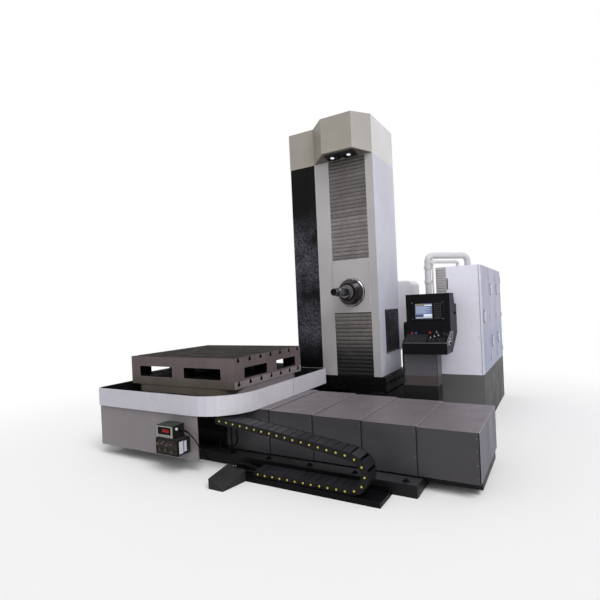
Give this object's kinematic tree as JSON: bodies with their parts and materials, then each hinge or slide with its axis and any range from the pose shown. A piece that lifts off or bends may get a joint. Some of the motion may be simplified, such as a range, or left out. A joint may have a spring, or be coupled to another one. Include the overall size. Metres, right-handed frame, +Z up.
{
  "type": "horizontal boring mill",
  "caption": "Horizontal boring and milling machine with a T-slotted turning table on a covered bed and a tall travelling column that carries a headstock and boring spindle.",
  "frame": {"origin": "on the floor under the table bed, on the bed's centreline, a little right of the spindle axis", "axes": "+X along the table bed away from the table's rest place, +Y from the table to the column, so the spindle points to -Y, +Z up"},
  "size_m": [4.521, 5.1353, 4.095],
  "materials": {
    "black_casting": "painted black, slightly mottled",
    "cover_grey": "satin grey sheet steel",
    "ground_iron": "ground and machined, brownish grey",
    "tray_enamel": "pale lavender grey enamel",
    "apron_grey": "warm mid grey enamel",
    "light_panel": "warm light grey enamel",
    "side_panel": "pale lavender grey enamel",
    "cap_paint": "warm grey enamel",
    "bright_steel": "turned and ground",
    "slat_steel": "brushed slats",
    "chain_plastic": "matt black",
    "pendant_black": "fine textured black",
    "screen_glass": "glossy",
    "white_tube": "white enamel",
    "plinth_grey": "dark grey enamel",
    "lamp_housing": "satin"
  },
  "bodies": {
    "bed": {"x_bed": "black_casting", "right_cover_1": "cover_grey", "left_cover_1": "cover_grey", "y_bed": "black_casting", "energy_chain": "chain_plastic", "chain_tray": "black_casting", "cable_duct": "black_casting", "cabinet_plinth": "plinth_grey", "cabinet_body": "side_panel", "pendant_stand": "plinth_grey", "pendant_housing": "pendant_black", "pendant_screen": "screen_glass", "cable_conduit": "white_tube"},
    "table_saddle": {"saddle": "black_casting", "drip_tray": "tray_enamel", "tray_apron": "apron_grey", "lubrication_unit": "plinth_grey", "right_cover_5": "cover_grey", "left_cover_5": "cover_grey"},
    "turning_table": {"rotary_table": "ground_iron", "riser_block": "ground_iron"},
    "column": {"column_saddle": "black_casting", "column_casting": "black_casting", "column_cover": "light_panel", "column_cap": "cap_paint", "hood_lamps": "lamp_housing", "vent_panel": "pendant_black", "drive_cover": "light_panel", "upper_apron": "slat_steel", "lower_apron": "slat_steel"},
    "headstock": {"headstock_body": "side_panel", "headstock_face": "light_panel", "spindle_flange": "bright_steel"},
    "spindle_sleeve": {"milling_spindle": "bright_steel"},
    "spindle_bar": {"boring_spindle": "bright_steel"},
    "right_section_2": {"right_cover_2": "cover_grey"},
    "right_section_3": {"right_cover_3": "cover_grey"},
    "right_section_4": {"right_cover_4": "cover_grey"},
    "left_section_2": {"left_cover_2": "cover_grey"},
    "left_section_3": {"left_cover_3": "cover_grey"},
    "left_section_4": {"left_cover_4": "cover_grey"},
    "door_1": {"cabinet_door_1": "side_panel"},
    "door_2": {"cabinet_door_2": "side_panel"},
    "door_3": {"cabinet_door_3": "side_panel"}
  },
  "joints": [
    {"name": "table_travel", "type": "slide", "parent": "bed", "child": "table_saddle", "axis": [1, 0, 0], "range_m": [0, 1.6]},
    {"name": "table_turn", "type": "hinge", "parent": "table_saddle", "child": "turning_table", "pos_m": [-1.505, 0, 0.7], "axis": [0, 0, 1], "continuous": true},
    {"name": "column_travel", "type": "slide", "parent": "bed", "child": "column", "axis": [0, 1, 0], "range_m": [0, 1]},
    {"name": "headstock_travel", "type": "slide", "parent": "column", "child": "headstock", "axis": [0, 0, 1], "range_m": [-0.38, 1], "deforming": ["upper_apron", "lower_apron"]},
    {"name": "spindle_turn", "type": "hinge", "parent": "headstock", "child": "spindle_sleeve", "pos_m": [-0.1, 0.95, 1.81], "axis": [0, -1, 0], "continuous": true},
    {"name": "spindle_feed", "type": "slide", "parent": "spindle_sleeve", "child": "spindle_bar", "axis": [0, -1, 0], "range_m": [-0.15, 0.45]},
    {"name": "right_section_2_slide", "type": "slide", "parent": "bed", "child": "right_section_2", "axis": [1, 0, 0], "range_m": [0, 0.4]},
    {"name": "right_section_3_slide", "type": "slide", "parent": "bed", "child": "right_section_3", "axis": [1, 0, 0], "range_m": [0, 0.8]},
    {"name": "right_section_4_slide", "type": "slide", "parent": "bed", "child": "right_section_4", "axis": [1, 0, 0], "range_m": [0, 1.2]},
    {"name": "left_section_2_slide", "type": "slide", "parent": "bed", "child": "left_section_2", "axis": [1, 0, 0], "range_m": [0, 0.4]},
    {"name": "left_section_3_slide", "type": "slide", "parent": "bed", "child": "left_section_3", "axis": [1, 0, 0], "range_m": [0, 0.8]},
    {"name": "left_section_4_slide", "type": "slide", "parent": "bed", "child": "left_section_4", "axis": [1, 0, 0], "range_m": [0, 1.2]},
    {"name": "door_1_hinge", "type": "hinge", "parent": "bed", "child": "door_1", "pos_m": [1.42, 2.43533, 1.38], "axis": [0, 0, 1], "range_deg": [0, 110]},
    {"name": "door_2_hinge", "type": "hinge", "parent": "bed", "child": "door_2", "pos_m": [1.42, 3.15367, 1.38], "axis": [0, 0, 1], "range_deg": [0, 110]},
    {"name": "door_3_hinge", "type": "hinge", "parent": "bed", "child": "door_3", "pos_m": [1.42, 3.872, 1.38], "axis": [0, 0, 1], "range_deg": [0, 110]}
  ],
  "couplings": [
    {"joint": "right_section_2_slide", "follows": "table_travel", "ratio": 0.25},
    {"joint": "right_section_3_slide", "follows": "table_travel", "ratio": 0.5},
    {"joint": "right_section_4_slide", "follows": "table_travel", "ratio": 0.75},
    {"joint": "left_section_2_slide", "follows": "table_travel", "ratio": 0.25},
    {"joint": "left_section_3_slide", "follows": "table_travel", "ratio": 0.5},
    {"joint": "left_section_4_slide", "follows": "table_travel", "ratio": 0.75}
  ]
}
